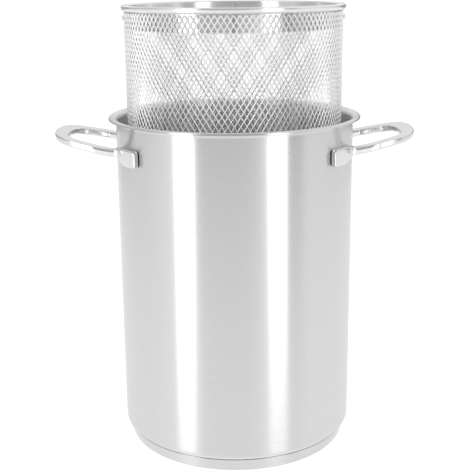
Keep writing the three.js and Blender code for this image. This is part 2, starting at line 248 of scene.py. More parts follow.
def turned(name, profile, steps, width=FULL_TURN):
    """A profile spun about Z, all round or through a width with its middle at the viewer's side."""
    profile = supported(profile)
    deselect_everything()
    bpy.ops.mesh.primitive_plane_add(size=MM)
    piece = named(name)
    bpy.ops.object.mode_set(mode="EDIT")
    bpy.ops.mesh.merge(type="CENTER")
    start = Matrix.Rotation(-QUARTER + width / 2, 3, "Z")
    place = start @ Vector((profile[0][0], 0, profile[0][1]))
    bpy.ops.transform.translate(value=place)
    for radius, height in profile[1:]:
        step = start @ Vector((radius, 0, height)) - place
        bpy.ops.mesh.extrude_vertices_move(TRANSFORM_OT_translate={"value": step})
        place += step
    bpy.ops.mesh.select_all(action="SELECT")
    bpy.ops.mesh.spin(steps=steps, angle=width, center=(0, 0, 0), axis=(0, 0, 1))
    leave_tidy()
    return piece


def lofted(name, rings):
    """A filled circle laid on the first ring and extruded from ring to ring."""
    deselect_everything()
    bpy.ops.mesh.primitive_circle_add(vertices=len(rings[0]), radius=MM, fill_type="NGON")
    piece = named(name)
    for vertex, point in zip(piece.data.vertices, rings[0]):
        vertex.co = point
    bpy.ops.object.mode_set(mode="EDIT")
    bpy.ops.mesh.select_all(action="SELECT")
    for ring in rings[1:]:
        bpy.ops.mesh.extrude_region_move()
        mesh = bmesh.from_edit_mesh(piece.data)
        end_face = next(face for face in mesh.faces if face.select)
        for vertex, point in zip(end_face.verts, ring):
            vertex.co = point
        bmesh.update_edit_mesh(piece.data)
    leave_tidy()
    return piece


def joined(name, pieces):
    """The pieces as one, with flat faces."""
    deselect_everything()
    for piece in pieces:
        piece.select_set(True)
    bpy.context.view_layer.objects.active = pieces[0]
    bpy.ops.object.join()
    bpy.ops.object.shade_flat()
    return named(name)


def finish_piece(piece, body, slot, material, *nodes):
    """Gives a finished piece its material and body, and hides the nodes that it stands for."""
    piece.data.materials.append(material)
    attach(piece, body)
    if nodes:
        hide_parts(*nodes)


# Materials


def add_node(tree, kind, inputs=None, **values):
    """Adds a node with its settings, its socket values and its links."""
    node = tree.nodes.new(kind)
    for name, value in values.items():
        setattr(node, name, value)
    for socket, value in (inputs or {}).items():
        if isinstance(value, bpy.types.NodeSocket):
            tree.links.new(value, node.inputs[socket])
        else:
            node.inputs[socket].default_value = value
    return node


def empty_material(name):
    """A new material and its node tree, with no nodes yet."""
    material = bpy.data.materials.new(name)
    material.use_nodes = True
    material.node_tree.nodes.clear()
    return material, material.node_tree


def surfaced(material, shader):
    """The material with a shader on its surface."""
    add_node(material.node_tree, "ShaderNodeOutputMaterial", {"Surface": shader.outputs[0]})
    return material


def object_parts(tree):
    """X, Y and Z of a place on the piece."""
    place = add_node(tree, "ShaderNodeTexCoord").outputs["Object"]
    return add_node(tree, "ShaderNodeSeparateXYZ", {0: place}).outputs


def around_axis(tree, along, across):
    """Coordinates for lines that run round Z, on walls and on flat faces alike."""
    parts = object_parts(tree)
    flat = add_node(tree, "ShaderNodeCombineXYZ", {"X": parts["X"], "Y": parts["Y"]})
    radius = add_node(tree, "ShaderNodeVectorMath", {0: flat.outputs[0]}, operation="LENGTH")
    level = add_node(tree, "ShaderNodeMath", {0: radius.outputs["Value"], 1: parts["Z"]}, operation="ADD")
    bent = {"X": parts["X"], "Y": parts["Y"], "Z": level.outputs[0]}
    place = add_node(tree, "ShaderNodeCombineXYZ", bent).outputs[0]
    scale = {0: place, 1: (along, along, across)}
    return add_node(tree, "ShaderNodeVectorMath", scale, operation="MULTIPLY").outputs[0]


# Dark stripe at the front of the band, under its lip: half its width with and without its soft edge, and how
# dark it is.
STRIPE_EDGE = 1.5 * MM
STRIPE_CORE = 1.0 * MM
STRIPE_DEPTH = 0.35


def front_dark_stripe(tree, middle):
    """A narrow upright stripe at the front of the band, under its lip, drawn darker."""
    parts = object_parts(tree)
    aside = add_node(tree, "ShaderNodeMath", {0: parts["X"], 1: middle}, operation="SUBTRACT")
    away = add_node(tree, "ShaderNodeMath", {0: aside.outputs[0]}, operation="ABSOLUTE").outputs[0]
    edges = {"Value": away, "From Min": STRIPE_EDGE, "From Max": STRIPE_CORE, "To Max": -STRIPE_DEPTH}
    stripe = add_node(tree, "ShaderNodeMapRange", edges, interpolation_type="SMOOTHSTEP").outputs["Result"]
    front = add_node(tree, "ShaderNodeMath", {0: parts["Y"], 1: 0.0}, operation="LESS_THAN")
    under_lip = band_high.z - settings("basket").lip_height
    low = add_node(tree, "ShaderNodeMath", {0: parts["Z"], 1: under_lip}, operation="LESS_THAN")
    there = add_node(tree, "ShaderNodeMath", {0: front.outputs[0], 1: low.outputs[0]}, operation="MULTIPLY")
    shade = {0: stripe, 1: there.outputs[0], 2: 1.0}
    return add_node(tree, "ShaderNodeMath", shade, operation="MULTIPLY_ADD").outputs[0]


# Brush lines, and how far they change colour and roughness. A fine belt's real lines are narrower than
# 0.1 mm. They are drawn coarser, in bundles, so that they show in the render.
LINE_LENGTH = 80 * MM
LINE_WIDTH = 0.8 * MM
LINE_TINT = 0.01
LINE_ROUGHNESS = 0.008
LINE_DEPTH = 0.002 * MM


def brushed_steel(name, base_colour, roughness=0.28, anisotropy=1.0, seam=None):
    """Stainless steel sheet, brushed round the pot with a fine belt: reflections keep a narrow soft edge
    sideways and smear far up and down, and faint lines run round the pot."""
    material, tree = empty_material(name)
    place = around_axis(tree, along=1 / LINE_LENGTH, across=1 / LINE_WIDTH)
    lines = add_node(tree, "ShaderNodeTexNoise", {"Vector": place, "Scale": 1.0}).outputs["Fac"]
    noise = {"Value": lines, "From Min": 0.3, "From Max": 0.7}
    tints = {**noise, "To Min": 1 - LINE_TINT, "To Max": 1 + LINE_TINT}
    tint = add_node(tree, "ShaderNodeMapRange", tints).outputs["Result"]
    # Where a stripe's place is given, a narrow upright stripe at the front under the lip is drawn darker in
    # the colour.
    if seam is not None:
        stripe_darkening = front_dark_stripe(tree, seam)
        tint = add_node(tree, "ShaderNodeMath", {0: tint, 1: stripe_darkening}, operation="MULTIPLY").outputs[0]
    tinted = {0: base_colour[:3], "Scale": tint}
    shade = add_node(tree, "ShaderNodeVectorMath", tinted, operation="SCALE").outputs["Vector"]
    limits = {**noise, "To Min": roughness - LINE_ROUGHNESS, "To Max": roughness + LINE_ROUGHNESS}
    rough = add_node(tree, "ShaderNodeMapRange", limits).outputs["Result"]
    bump = add_node(tree, "ShaderNodeBump", {"Height": lines, "Strength": 0.03, "Distance": LINE_DEPTH})
    tangent = add_node(tree, "ShaderNodeTangent", direction_type="RADIAL", axis="Z")
    finish = {"Base Color": shade, "Metallic": 1.0, "Roughness": rough, "Normal": bump.outputs["Normal"]}
    brush = {"Anisotropic": anisotropy, "Anisotropic Rotation": 0.25, "Tangent": tangent.outputs["Tangent"]}
    return surfaced(material, add_node(tree, "ShaderNodeBsdfPrincipled", {**finish, **brush}))


# Soft waves that polishing leaves, and how much they change the roughness.
WAVE_LENGTH = 6 * MM
WAVE_HEIGHT = 0.1 * MM
WAVE_ROUGHNESS = 0.3


def polished_steel(name, base_colour, roughness, ripple=0.05):
    """Stainless steel polished with a mop or in an acid bath: reflections with a soft, uneven edge."""
    material, tree = empty_material(name)
    place = add_node(tree, "ShaderNodeTexCoord").outputs["Object"]
    cloud = add_node(tree, "ShaderNodeTexNoise", {"Vector": place, "Scale": 1 / WAVE_LENGTH}).outputs["Fac"]
    spread = roughness * WAVE_ROUGHNESS
    limits = {"Value": cloud, "To Min": roughness - spread, "To Max": roughness + spread}
    rough = add_node(tree, "ShaderNodeMapRange", limits).outputs["Result"]
    waves = {"Height": cloud, "Strength": ripple, "Distance": WAVE_HEIGHT}
    bump = add_node(tree, "ShaderNodeBump", waves).outputs["Normal"]
    finish = {"Base Color": base_colour, "Metallic": 1.0, "Roughness": rough, "Normal": bump}
    return surfaced(material, add_node(tree, "ShaderNodeBsdfPrincipled", finish))


# Lines of a rolled plate, about 33 mm long and 0.7 mm wide.
ROLLED_LENGTH = 100 / 3 * MM
ROLLED_WIDTH = 2 / 3 * MM


def rolled_aluminium(name, base_colour):
    """Aluminium plate as rolled: dull, with faint straight lines."""
    material, tree = empty_material(name)
    place = add_node(tree, "ShaderNodeTexCoord").outputs["Object"]
    scale = (1 / ROLLED_LENGTH, 1 / ROLLED_WIDTH, 1 / ROLLED_LENGTH)
    stretched = add_node(tree, "ShaderNodeMapping", {"Vector": place, "Scale": scale}).outputs["Vector"]
    lines = add_node(tree, "ShaderNodeTexNoise", {"Vector": stretched, "Scale": 1.0}).outputs["Fac"]
    rough = add_node(tree, "ShaderNodeMapRange", {"Value": lines, "To Min": 0.4, "To Max": 0.6})
    finish = {"Base Color": base_colour, "Metallic": 1.0, "Roughness": rough.outputs["Result"]}
    return surfaced(material, add_node(tree, "ShaderNodeBsdfPrincipled", finish))


# Pot


def pot_profile(sizes, base):
    """Up the outside, over the flared rim and its rolled edge, down the inside and across the floor."""
    half = sizes.wall / 2
    flare_radius = sizes.inner_radius + half + sizes.flare_radius
    flare_height = sizes.height - half - sizes.flare_radius
    curl_height = sizes.height - half - sizes.curl_radius
    curl_end = QUARTER - sizes.curl_angle
    underside = base.height - base.overlap
    corner_centre = sizes.inner_radius + sizes.wall - sizes.corner_radius
    corner_height = underside + sizes.corner_radius
    outside = arc_points(corner_centre, corner_height, sizes.corner_radius, -QUARTER, 0, 10)
    flare_out = arc_points(flare_radius, flare_height, sizes.flare_radius - half, math.pi, QUARTER, 10)
    curl_in = arc_points(flare_radius, curl_height, sizes.curl_radius - half, QUARTER, curl_end, 8)
    curl_out = arc_points(flare_radius, curl_height, sizes.curl_radius + half, curl_end, QUARTER, 12)
    flare_in = arc_points(flare_radius, flare_height, sizes.flare_radius + half, QUARTER, math.pi, 12)
    inside = arc_points(corner_centre, corner_height, sizes.corner_radius - sizes.wall, 0, -QUARTER, 8)
    rim = flare_out + curl_in + curl_out + flare_in[1:]
    return [(0, underside)] + outside + rim + inside + [(0, underside + sizes.wall)]


class COOKINGPOT_OT_body(bpy.types.Operator):
    """Model the drawn shell of the pot with its pouring rim"""

    bl_idname = "cooking_pot.body"
    bl_label = "Pot body"

    def execute(self, context):
        sizes = settings("pot")
        colours = settings("colours")
        shell = turned("pot_shell", pot_profile(sizes, settings("base")), sizes.turn_steps)
        steel = brushed_steel("brushed stainless steel", colours.pot)
        finish_piece(shell, "pot", "pot_steel", steel, "pot_body")
        satin = brushed_steel("satin steel of the inside", colours.inside, roughness=0.4, anisotropy=0.5)
        shell.data.materials.append(satin)
        inside_top = sizes.height - sizes.wall / 2 - sizes.flare_radius
        for face in shell.data.polygons:
            place = face.center
            within = math.hypot(place.x, place.y) < sizes.inner_radius + sizes.wall / 4
            if within and settings("base").height < place.z < inside_top:
                face.material_index = 1
        return {"FINISHED"}


def cap_profile(base, pot):
    """Across the underside, up to the seam, over the edge and back along the inside."""
    edge_centre = base.low_radius - base.edge_radius
    gap = settings("handles").seat_gap
    top_inner = pot.inner_radius + pot.wall - pot.corner_radius / 2 - pot.wall / 2
    outside = arc_points(edge_centre, base.edge_radius, base.edge_radius, -QUARTER, 0, 10)
    inside = arc_points(edge_centre, base.edge_radius, base.edge_radius - base.wall, 0, -QUARTER, 6)
    # The broken edge slopes in a quarter as far as it drops.
    top = [
        (base.top_radius, base.height - gap),
        (base.top_radius - base.seam_opening / 4, base.height - base.seam_opening),
        (top_inner, base.height - base.overlap - gap),
    ]
    return [(0, 0)] + outside + top + inside + [(0, base.wall)]


class COOKINGPOT_OT_base(bpy.types.Operator):
    """Model the cap under the pot and give the disc inside it its metal"""

    bl_idname = "cooking_pot.base"
    bl_label = "Base"

    def execute(self, context):
        pot = settings("pot")
        cap = turned("base_cap_shell", cap_profile(settings("base"), pot), pot.turn_steps)
        colours = settings("colours")
        finish_piece(cap, "pot", "pot_steel", brushed_steel("brushed base steel", colours.pot), "base_cap")
        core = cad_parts["base_core"]
        core.data.materials.clear()
        core.data.materials.append(rolled_aluminium("rolled aluminium", colours.aluminium))
        return {"FINISHED"}


# Handles

# Share of a bar's flat side between its rounding and the point that keeps the side flat.
SUPPORT_SHARE = 0.12
# Share of half a side that a rounding takes at most, so that no side vanishes.
FULLEST_ROUNDING = 0.98
# The arm's sections are spaced evenly from this depth behind the wall's face.
ARM_ROOT = 5 * MM
# The loop's rise starts softly, from this far before the wall's face to as far behind it.
RISE_ONSET = 3 * MM


def rounded_section(inner, outer, low, high, rounding, corner_steps=5):
    """Points of a rounded rectangle that stands on the line from an inner to an outer point."""
    inner = Vector(inner)
    across = Vector(outer) - inner
    width = across.length
    across.normalize()
    reach = min(rounding, width / 2 * FULLEST_ROUNDING, (high - low) / 2 * FULLEST_ROUNDING)
    corners = (
        (width - reach, low + reach, -QUARTER),
        (width - reach, high - reach, 0),
        (reach, high - reach, QUARTER),
        (reach, low + reach, math.pi),
    )
    support = SUPPORT_SHARE * min(width - 2 * reach, high - low - 2 * reach)
    points = []
    for side, level, start in corners:
        path = arc_points(side, level, reach, start, start + QUARTER, corner_steps)
        back = support * math.sin(start)
        along = support * math.cos(start)
        before = (path[0][0] + back, path[0][1] - along)
        after = (path[-1][0] - along, path[-1][1] - back)
        for distance, height in [before] + path + [after]:
            place = inner + across * distance
            points.append(Vector((place.x, place.y, height)))
    return points


def bezier(points, t):
    """A point and the direction of a cubic curve in the plan."""
    a, b, c, d = (Vector(p) for p in points)
    place = a * (1 - t) ** 3 + b * 3 * t * (1 - t) ** 2 + c * 3 * t * t * (1 - t) + d * t**3
    heading = (b - a) * 3 * (1 - t) ** 2 + (c - b) * 6 * t * (1 - t) + (d - c) * 3 * t * t
    return place, heading.normalized()


def ramp(value, start, end):
    """How far a value has come from a start to an end, from 0 to 1."""
    return min(max((value - start) / (end - start), 0), 1)


def foot_stations(sizes, pot):
    """Inner and outer plan points of the foot, from its free end to the arm."""
    wall = pot.inner_radius + pot.wall + sizes.seat_gap
    face = wall + sizes.foot_thickness
    arm_inner = (sizes.arm_spacing - sizes.bar_width) / 2
    arm_outer = (sizes.arm_spacing + sizes.bar_width) / 2
    end = sizes.foot_end_angle
    inner_angle = math.asin(arm_inner / wall)
    fillet_y = arm_outer + sizes.foot_fillet
    fillet_x = math.sqrt((face + sizes.foot_fillet) ** 2 - fillet_y**2)
    fillet_angle = math.atan2(fillet_y, fillet_x)
    arc_length = face * (end - fillet_angle)
    fillet_length = sizes.foot_fillet * (QUARTER - fillet_angle)
    steps = 26
    stations = []
    for i in range(steps + 1):
        share = i / steps
        way = share * (arc_length + fillet_length)
        seat = wall + sizes.end_gap * (1 - ramp(way, 0, sizes.end_gap_run))
        a = end + (inner_angle - end) * share
        inner = (seat * math.cos(a), -seat * math.sin(a))
        if way < arc_length:
            b = end - way / face
            outer = (face * math.cos(b), -face * math.sin(b))
        else:
            b = math.pi - fillet_angle - (way - arc_length) / sizes.foot_fillet
            outer = (fillet_x + sizes.foot_fillet * math.cos(b), -fillet_y + sizes.foot_fillet * math.sin(b))
        stations.append((inner, outer))
    return stations


def loop_stations(sizes, pot):
    """Inner and outer plan points of the arm and the loop, from the foot to the tip."""
    arm = sizes.arm_spacing / 2
    half = sizes.bar_width / 2
    outside = pot.inner_radius + pot.wall
    straight_end = outside + sizes.straight_reach
    tip = outside + sizes.reach - half
    shoulder_share, narrow_share, tip_share = 0.6, 0.81, 0.93
    shoulder = straight_end + (tip - straight_end) * shoulder_share
    arm_start = outside - ARM_ROOT
    arm_steps = 8
    stations = []
    for i in range(1, arm_steps):
        x = arm_start + (straight_end - arm_start) * i / arm_steps
        stations.append(((x, -arm + half), (x, -arm - half)))
    curve = ((straight_end, -arm), (shoulder, -arm * narrow_share), (tip, -arm * tip_share), (tip, 0))
    steps = 32
    for i in range(steps + 1):
        place, heading = bezier(curve, i / steps)
        side = Vector((-heading.y, heading.x)) * half
        stations.append((tuple(place + side), tuple(place - side)))
    return stations


def handle_rings(sizes, pot):
    """Sections of the right handle from one foot's free end round the loop to the other's."""
    root = pot.height - sizes.drop
    top = root + sizes.bar_height / 2
    bottom = root - sizes.bar_height / 2
    outside = pot.inner_radius + pot.wall
    slope_start = outside * math.cos(sizes.foot_end_angle) + sizes.foot_level_run
    slope_end = slope_start + sizes.foot_slope_run
    foot = foot_stations(sizes, pot)
    rings = []
    for i, (inner, outer) in enumerate(foot + loop_stations(sizes, pot)):
        foot_share = 1 - ramp(outer[0], slope_start, slope_end)
        low = bottom - sizes.foot_deepening * foot_share
        high = top + sizes.foot_rise * foot_share
        if i >= len(foot):
            rings.append(rounded_section(inner, outer, low, high, sizes.bar_rounding))
            continue
        travel = (Vector(outer) - Vector(foot[0][1])).length
        shrink = 0.0
        if travel < sizes.foot_rounding:
            share = 1 - travel / sizes.foot_rounding
            shrink = sizes.foot_rounding * (1 - math.sqrt(max(1 - share * share, 0)))
        across = (Vector(outer) - Vector(inner)).normalized()
        outer = Vector(outer) - across * shrink / 2
        rings.append(rounded_section(inner, outer, low + shrink, high - shrink, sizes.foot_edge))
    slope = math.sin(sizes.tilt)
    shorten = math.cos(sizes.tilt)
    for ring in rings:
        for point in ring:
            out = point.x - outside
            if out > -RISE_ONSET:
                run = (out + RISE_ONSET) ** 2 / (4 * RISE_ONSET) if out < RISE_ONSET else out
                point.z += run * slope
            if out > 0:
                point.x = outside + out * shorten
    back = [[Vector((p.x, -p.y, p.z)) for p in ring] for ring in reversed(rings[:-1])]
    return rings + back


class COOKINGPOT_OT_handles(bpy.types.Operator):
    """Model the two cast loop handles with their welded feet"""

    bl_idname = "cooking_pot.handles"
    bl_label = "Handles"

    def execute(self, context):
        rings = handle_rings(settings("handles"), settings("pot"))
        steel = polished_steel("polished cast stainless steel", settings("colours").handles, roughness=0.18)
        right = lofted("handle_right_cast", rings)
        turned_about = Matrix.Rotation(math.pi, 3, "Z")
        left = lofted("handle_left_cast", [[turned_about @ p for p in ring] for ring in rings])
        finish_piece(right, "pot", "handle_steel", steel, "handle_right")
        finish_piece(left, "pot", "handle_steel", steel, "handle_left")
        return {"FINISHED"}


# Basket

# Point of the band's outline, under its lip, from which the weld bead runs over the lip and down inside.
BEAD_START = 8


def band_steel(name, seam=None):
    """Sheet that was brushed and then polished in an acid bath: as the pot's, but a little clearer."""
    return brushed_steel(name, settings("colours").band, roughness=0.25, anisotropy=0.95, seam=seam)


def mesh_steel(name):
    """Expanded metal polished in an acid bath, which leaves its cut edges dull: broad, uneven highlights."""
    return polished_steel(name, settings("colours").basket, roughness=0.5, ripple=0.1)


def band_profile(sizes):
    """The band from its foot up the outside, round the rolled lip and down the inside."""
    outer = sizes.band_outer_radius
    inner = outer - sizes.band_wall
    top = band_high.z + sizes.facet_drop
    stand_out = sizes.lip_radius - outer
    belly = top - sizes.lip_drop
    roll = sizes.lip_height - sizes.lip_drop
    turns = [QUARTER * i / 10 for i in range(11)]
    under = [(outer + stand_out * math.sin(t), belly - roll * math.cos(t)) for t in turns]
    middle = (sizes.lip_radius + inner) / 2
    reach = (sizes.lip_radius - inner) / 2
    turns = [math.pi * i / 16 for i in range(1, 17)]
    over = [(middle + reach * math.cos(t), belly + sizes.lip_drop * math.sin(t)) for t in turns]
    return [(inner, band_low.z), (outer, band_low.z)] + under + over


def bead_rings(profile, middle, half_width, height):
    """Sections of a flat weld bead that lies on a profile at the back of the band."""
    sides = 8
    rings = []
    for i, point in enumerate(profile):
        before = Vector(profile[max(i - 1, 0)])
        after = Vector(profile[min(i + 1, len(profile) - 1)])
        along = (after - before).normalized()
        out = Vector((-along.y, along.x))
        ring = []
        for k in range(sides):
            turn = FULL_TURN * k / sides
            place = Vector(point) + out * height * math.sin(turn)
            ring.append(Vector((middle + half_width * math.cos(turn), place.x, place.y)))
        rings.append(ring)
    return rings


class COOKINGPOT_OT_rim_band(bpy.types.Operator):
    """Model the solid band round the basket's mouth"""

    bl_idname = "cooking_pot.rim_band"
    bl_label = "Basket rim band"

    def execute(self, context):
        sizes = settings("basket")
        profile = band_profile(sizes)
        band = turned("basket_rim", profile + profile[:1], sizes.turn_steps)
        steel = band_steel("electropolished band steel", sizes.stripe_place)
        finish_piece(band, "basket", "basket_steel", steel, "basket_rim_band")
        path = profile[BEAD_START:] + profile[:1]
        rings = bead_rings(path, sizes.weld_place, sizes.weld_width / 2, sizes.weld_height)
        bead = lofted("basket_rim_weld", rings)
        shine = polished_steel("weld bead of stainless steel", settings("colours").basket, roughness=0.25)
        finish_piece(bead, "basket", "basket_steel", shine)
        return {"FINISHED"}


class COOKINGPOT_OT_bottom_band(bpy.types.Operator):
    """Model the angle ring at the basket's foot"""

    bl_idname = "cooking_pot.bottom_band"
    bl_label = "Basket bottom band"

    def execute(self, context):
        sizes = settings("basket")
        outer = sizes.band_outer_radius
        inner = outer - sizes.band_wall
        ledge = inner - sizes.floor_ledge
        low = ring_low.z
        high = ring_high.z
        seat = low + sizes.band_wall
        profile = [(ledge, low), (outer, low), (outer, high), (inner, high), (inner, seat), (ledge, seat)]
        ring = turned("basket_foot_ring", profile + profile[:1], sizes.turn_steps)
        steel = band_steel("electropolished ring steel")
        finish_piece(ring, "basket", "basket_steel", steel, "basket_bottom_band")
        return {"FINISHED"}


def strand_rings(sizes, pitch, place, start, step, count):
    """Sections of one strand that zigzags from bond to bond, as a four-sided bar with its ridge outwards."""
    lean = math.atan2(pitch / 2, sizes.opening_height / 2)
    half_width = sizes.strand_width / 2 / math.cos(lean)
    half_depth = sizes.strand_depth / 2
    corners = [(half_width * math.cos(k * QUARTER), half_depth * math.sin(k * QUARTER)) for k in range(4)]
    rings = []
    for i in range(count + 1):
        side = pitch / 2 - sizes.bond_spread if i % 2 else sizes.bond_spread
        rings.append([place(side + x, out, start + step * i) for x, out in corners])
    return rings


class COOKINGPOT_OT_mesh_wall(bpy.types.Operator):
    """Model the basket's round wall of expanded metal, strand by strand"""

    bl_idname = "cooking_pot.mesh_wall"
    bl_label = "Basket mesh wall"

    def execute(self, context):
        sizes = settings("mesh")
        radius = wall_high.x - sizes.strand_depth / 2
        pitch = FULL_TURN * radius / sizes.columns
        half_step = sizes.opening_height / 2
        count = int((wall_high.z - wall_low.z) / half_step)

        def place(x, out, height):
            return Vector((x, -radius - out, height))

        rings = strand_rings(sizes, pitch, place, wall_high.z, -half_step, count)
        twin_rings = [[Vector((-p.x, p.y, p.z)) for p in ring] for ring in rings]
        pair = [lofted("wall_strand", rings), lofted("strand_twin", twin_rings)]
        wall = joined("basket_expanded_wall", pair)
        bpy.ops.object.mode_set(mode="EDIT")
        bpy.ops.mesh.select_all(action="SELECT")
        bpy.ops.mesh.spin(
            steps=sizes.columns, dupli=True, angle=FULL_TURN, center=(0, 0, 0), axis=(0, 0, 1)
        )
        bpy.ops.object.mode_set(mode="OBJECT")
        steel = mesh_steel("electropolished expanded metal")
        finish_piece(wall, "basket", "basket_steel", steel, "basket_mesh_wall")
        return {"FINISHED"}


class COOKINGPOT_OT_mesh_floor(bpy.types.Operator):
    """Model the basket's flat floor of expanded metal"""

    bl_idname = "cooking_pot.mesh_floor"
    bl_label = "Basket mesh floor"

    def execute(self, context):
        sizes = settings("mesh")
        pitch = FULL_TURN * wall_high.x / sizes.columns
        half_step = sizes.opening_height / 2
        reach = floor_high.x - sizes.strand_width
        level = (floor_low.z + floor_high.z) / 2
        columns = int(reach / pitch)
        strands = []
        for column in range(-columns, columns + 1):
            middle = column * pitch
            half_length = math.sqrt(max(reach**2 - (abs(middle) + pitch / 2) ** 2, 0))
            half_count = int(half_length / half_step)
            if half_count < 1:
                continue
            odd = half_count % 2
            start = -(half_count + odd) * half_step
            for mirror in (1, -1):

                def place(x, out, along, middle=middle, mirror=mirror):
                    return Vector((middle + mirror * x, along, level + out))

                rings = strand_rings(sizes, pitch, place, start, half_step, 2 * half_count + odd)
                strands.append(lofted("floor_strand", rings[odd:]))
        floor = joined("basket_expanded_floor", strands)
        steel = mesh_steel("electropolished floor metal")
        finish_piece(floor, "basket", "basket_steel", steel, "basket_floor")
        return {"FINISHED"}


# Bail


def bail_rings(sizes, basket):
    """Sections of the wire: pin, bend, arch folded to the back, bend, pin."""
    start = basket.band_outer_radius - basket.band_wall - sizes.bend_inset
    centre_distance = math.hypot(start, sizes.bend_radius)
    arch = centre_distance - sizes.bend_radius
    lean = math.atan2(sizes.bend_radius, start)
    height = (bail_low.z + bail_high.z) / 2
    pin = bail_high.x
    bend_steps = 8
    path = [(pin, 0.0, math.pi), (start, 0.0, math.pi)]

    def bend(middle, first_turn):
        for i in range(1, bend_steps + 1):
            turn = first_turn - (QUARTER - lean) * i / bend_steps
            x = middle + sizes.bend_radius * math.cos(turn)
            y = sizes.bend_radius + sizes.bend_radius * math.sin(turn)
            path.append((x, y, turn - QUARTER))

    bend(start, -QUARTER)
    arch_steps = 96
    for i in range(1, arch_steps + 1):
        turn = lean + (math.pi - 2 * lean) * i / arch_steps
        path.append((arch * math.cos(turn), arch * math.sin(turn), turn + QUARTER))
    bend(-start, -lean)
    path.append((-pin, 0.0, math.pi))
    rings = []
    for x, y, heading in path:
        side = Vector((-math.sin(heading), math.cos(heading), 0))
        ring = []
        for k in range(sizes.wire_sides):
            turn = FULL_TURN * k / sizes.wire_sides
            offset = side * sizes.wire_radius * math.cos(turn)
            ring.append(Vector((x, y, height + sizes.wire_radius * math.sin(turn))) + offset)
        rings.append(ring)
    return rings


class COOKINGPOT_OT_bail(bpy.types.Operator):
    """Model the wire bail, folded level inside the band"""

    bl_idname = "cooking_pot.bail"
    bl_label = "Basket bail"

    def execute(self, context):
        bail = lofted("basket_bail_wire", bail_rings(settings("bail"), settings("basket")))
        steel = polished_steel("drawn stainless wire", settings("colours").bail, roughness=0.3)
        finish_piece(bail, "bail", "bail_steel", steel, "basket_bail")
        return {"FINISHED"}


# Stage

# The studio's walls near the floor and higher up, and its ceiling: their level by azimuth, in degrees from
# the viewer's side. Grey flags stand beside the strip lights, and the walls are dark round the camera.
LOW_WALL = (
    (-180, 0.8), (-135, 0.2), (-115, 0.55), (-90, 0.75), (-70, 1.05), (-58, 1.3), (-36, 0.25), (-30, 0.1),
    (0, 0.1), (15, 0.2), (24, 0.7), (30, 1.0), (46, 1.0), (50, 0.0), (60, 0.0), (66, 0.5), (72, 0.8),
    (95, 0.75), (120, 0.65), (145, 0.15), (180, 0.8),
)
HIGH_WALL = (
    (-180, 1.05), (-140, 0.9), (-120, 0.65), (-70, 0.65), (-58, 0.7), (-45, 0.4), (-30, 0.5), (-20, 0.58),
    (20, 0.58), (30, 0.6), (55, 0.8), (70, 1.0), (180, 1.05),
)
CEILING = ((-180, 1.05), (-75, 1.05), (-50, 0.5), (50, 0.5), (75, 1.05), (180, 1.05))
# Level that full white stands for in the walls' and the ceiling's materials.
BRIGHTEST_WALL = 1.5
# Share of that level at the foot of the walls, where the white paper of the floor curves up.
FOOT_WALL = 0.7
ROOM_RADIUS = 1.3
ROOM_HEIGHT = 1.6
ROOM_STEPS = 72
# Heights between which one level of the walls turns into the next.
FOOT_TO_LOW = (0.04, 0.1)
LOW_TO_HIGH = (0.3, 0.6)
# White card that lies on the floor before the camera: radius and height along it, and how wide it is.
CARD_PROFILE = [(0.85, 0.002), (1.05, 0.002), (1.25, 0.08)]
CARD_WIDTH = math.radians(100)
FLOOR_SIZE = 8.0
FLOOR_PLACE = (0, 0, -0.05 * MM)
PAPER_COLOUR = 0x959595
WORLD_LEVEL = 0.8
CAMERA_PLACE = (0, -0.672422, 0.325207)
CAMERA_TILT = math.radians(74.916)
CAMERA_ROLL = math.radians(-0.512)
CAMERA_LENS = 75.175
CAMERA_SHIFT = -0.00092


def wall_ramp(tree, share, levels):
    """The level at a share of the way round the room, as a grey."""
    greys = add_node(tree, "ShaderNodeValToRGB", {"Fac": share})
    stops = greys.color_ramp.elements
    while len(stops) < len(levels):
        stops.new(1.0)
    for stop, (degrees, level) in zip(stops, levels):
        stop.position = (degrees + 180) / 360
        shade = level / BRIGHTEST_WALL
        stop.color = (shade, shade, shade, 1.0)
    return greys.outputs["Color"]


def room_place(tree):
    """How far round the room a place lies, from 0 to 1 with the viewer's side at 0.5, and its height."""
    parts = object_parts(tree)
    towards = add_node(tree, "ShaderNodeMath", {0: parts["Y"], 1: -1.0}, operation="MULTIPLY")
    azimuth = add_node(tree, "ShaderNodeMath", {0: parts["X"], 1: towards.outputs[0]}, operation="ARCTAN2")
    turn = {"Value": azimuth.outputs[0], "From Min": -math.pi, "From Max": math.pi}
    return add_node(tree, "ShaderNodeMapRange", turn).outputs["Result"], parts["Z"]


def ceiling_light(tree):
    """A ceiling that is dimmer over the viewer's side."""
    return wall_ramp(tree, room_place(tree)[0], CEILING)


def wall_light(tree):
    """Walls whose level changes round the pot and with the height."""
    share, height = room_place(tree)
    heights = {"Value": height, "From Min": LOW_TO_HIGH[0], "From Max": LOW_TO_HIGH[1]}
    rise = add_node(tree, "ShaderNodeMapRange", heights, interpolation_type="SMOOTHSTEP").outputs["Result"]
    low = wall_ramp(tree, share, LOW_WALL)
    high = wall_ramp(tree, share, HIGH_WALL)
    both = add_node(tree, "ShaderNodeMix", {0: rise, 6: low, 7: high}, data_type="RGBA").outputs[2]
    heights = {"Value": height, "From Min": FOOT_TO_LOW[1], "From Max": FOOT_TO_LOW[0]}
    sweep = add_node(tree, "ShaderNodeMapRange", heights, interpolation_type="SMOOTHSTEP").outputs["Result"]
    foot = (FOOT_WALL, FOOT_WALL, FOOT_WALL, 1.0)
    return add_node(tree, "ShaderNodeMix", {0: sweep, 6: both, 7: foot}, data_type="RGBA").outputs[2]


def glowing(name, strength, light=None):
    """A surface that gives its own light, even or by its place in the room."""
    material, tree = empty_material(name)
    inputs = {"Strength": strength}
    if light:
        inputs["Color"] = light(tree)
    return surfaced(material, add_node(tree, "ShaderNodeEmission", inputs))


